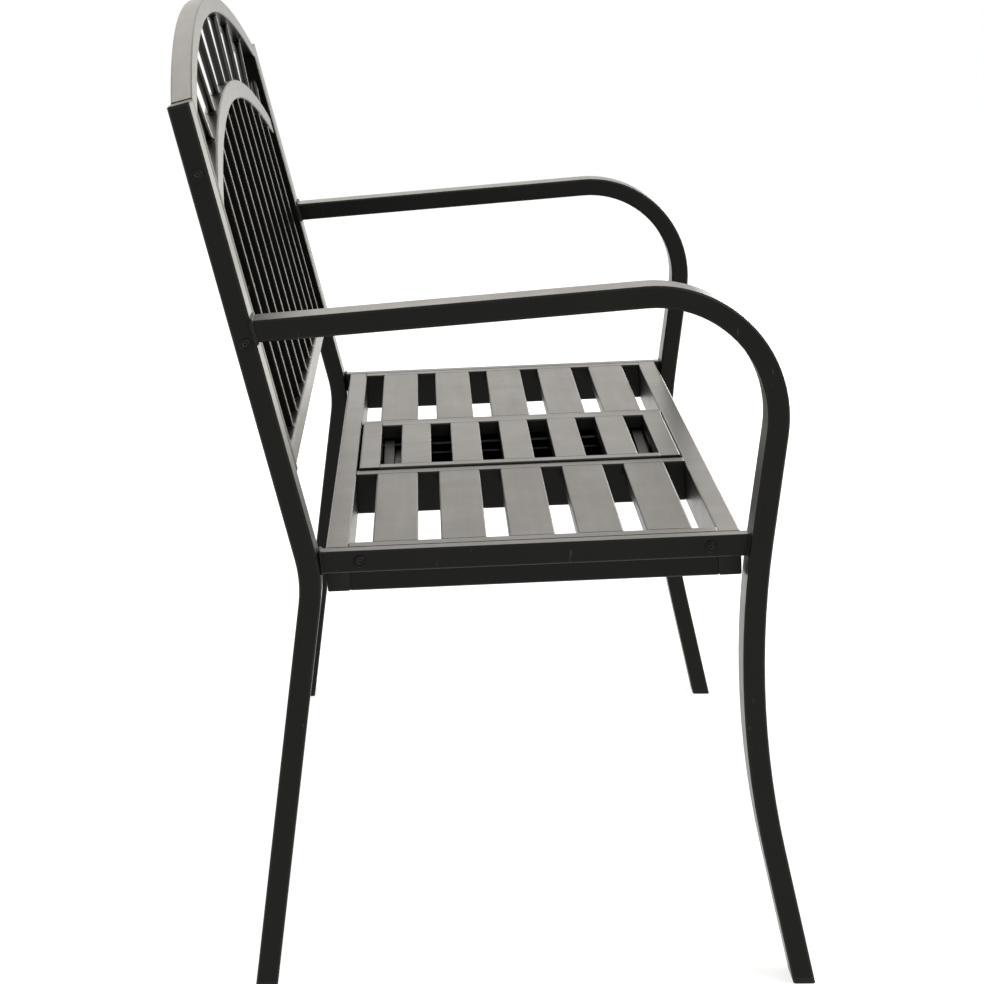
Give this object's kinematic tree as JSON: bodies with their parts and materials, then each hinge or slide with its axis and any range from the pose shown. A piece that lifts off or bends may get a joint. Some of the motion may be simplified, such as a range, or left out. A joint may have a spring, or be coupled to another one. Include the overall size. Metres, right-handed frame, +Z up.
{
  "type": "garden bench with lift-up table",
  "caption": "Two-seat metal garden bench with an arched slatted back, looped arms, and a slatted table in the middle of the seat that lifts on a scissor linkage.",
  "frame": {"origin": "on the floor, below the middle of the whole bench's box", "axes": "+X along the bench, from the sitter's right to the sitter's left, -Y to the front, +Z up"},
  "size_m": [1.2152, 0.6656, 0.9796],
  "materials": {
    "frame_coat": "black powder coat, semi-gloss",
    "mechanism_coat": "black powder coat, satin",
    "black_plastic": "fine-grained black moulding",
    "black_bolt": "blackened steel",
    "zinc_steel": "bright zinc plate"
  },
  "bodies": {
    "frame": {"rear_leg_post_left": "frame_coat", "rear_leg_post_right": "frame_coat", "arm_front_leg_left": "frame_coat", "arm_front_leg_right": "frame_coat", "side_rail_left": "frame_coat", "side_rail_right": "frame_coat", "post_caps": "black_plastic", "foot_plugs": "black_plastic", "back_outer_arch": "frame_coat", "back_inner_arch": "frame_coat", "back_upright_left": "frame_coat", "back_upright_right": "frame_coat", "back_bottom_rail": "frame_coat", "back_bars": "frame_coat", "back_rays": "frame_coat", "back_bolts": "black_bolt", "back_nuts": "zinc_steel", "seat_bolts": "black_bolt", "seat_nuts": "zinc_steel", "seat_rear_rail": "frame_coat", "seat_front_rail": "frame_coat", "rail_end_plugs": "black_plastic", "seat_end_rail_left": "frame_coat", "seat_end_rail_right": "frame_coat", "well_cross_rail_left": "frame_coat", "well_cross_rail_right": "frame_coat", "seat_slats_left": "frame_coat", "seat_slats_right": "frame_coat", "well_tray": "mechanism_coat", "tray_screws": "zinc_steel", "table_rests": "mechanism_coat", "base_guide_rear": "mechanism_coat", "base_guide_front": "mechanism_coat", "lower_hinge_studs": "zinc_steel"},
    "outer_arms": {"outer_arm_rear": "mechanism_coat", "outer_arm_front": "mechanism_coat", "cross_pins": "zinc_steel", "upper_rod": "zinc_steel", "upper_rod_clip": "zinc_steel"},
    "inner_arms": {"inner_arm_rear": "mechanism_coat", "inner_arm_front": "mechanism_coat", "lower_rod": "zinc_steel", "lower_rod_clip": "zinc_steel"},
    "table": {"table_rear_rail": "frame_coat", "table_front_rail": "frame_coat", "table_end_rail_left": "frame_coat", "table_end_rail_right": "frame_coat", "table_slats": "frame_coat", "table_end_plugs": "black_plastic", "table_guide_rear": "mechanism_coat", "table_guide_front": "mechanism_coat", "table_hinge_brackets": "mechanism_coat", "upper_hinge_pins": "zinc_steel"}
  },
  "joints": [
    {"name": "table_lift", "type": "hinge", "parent": "frame", "child": "outer_arms", "pos_m": [-0.125, -0.04607, 0.42495], "axis": [0, -0.9993, 0.0385], "range_deg": [0, 45.41]},
    {"name": "arms_cross", "type": "hinge", "parent": "outer_arms", "child": "inner_arms", "pos_m": [-0.00013, -0.04586, 0.4306], "axis": [0, -0.9993, 0.0385], "range_deg": [-90.84, 0]},
    {"name": "table_level", "type": "hinge", "parent": "inner_arms", "child": "table", "pos_m": [-0.125, -0.04564, 0.43624], "axis": [0, -0.9993, 0.0385], "range_deg": [0, 45.42]}
  ],
  "couplings": [
    {"joint": "arms_cross", "follows": "table_lift", "ratio": -2},
    {"joint": "table_level", "follows": "table_lift", "ratio": 1}
  ]
}
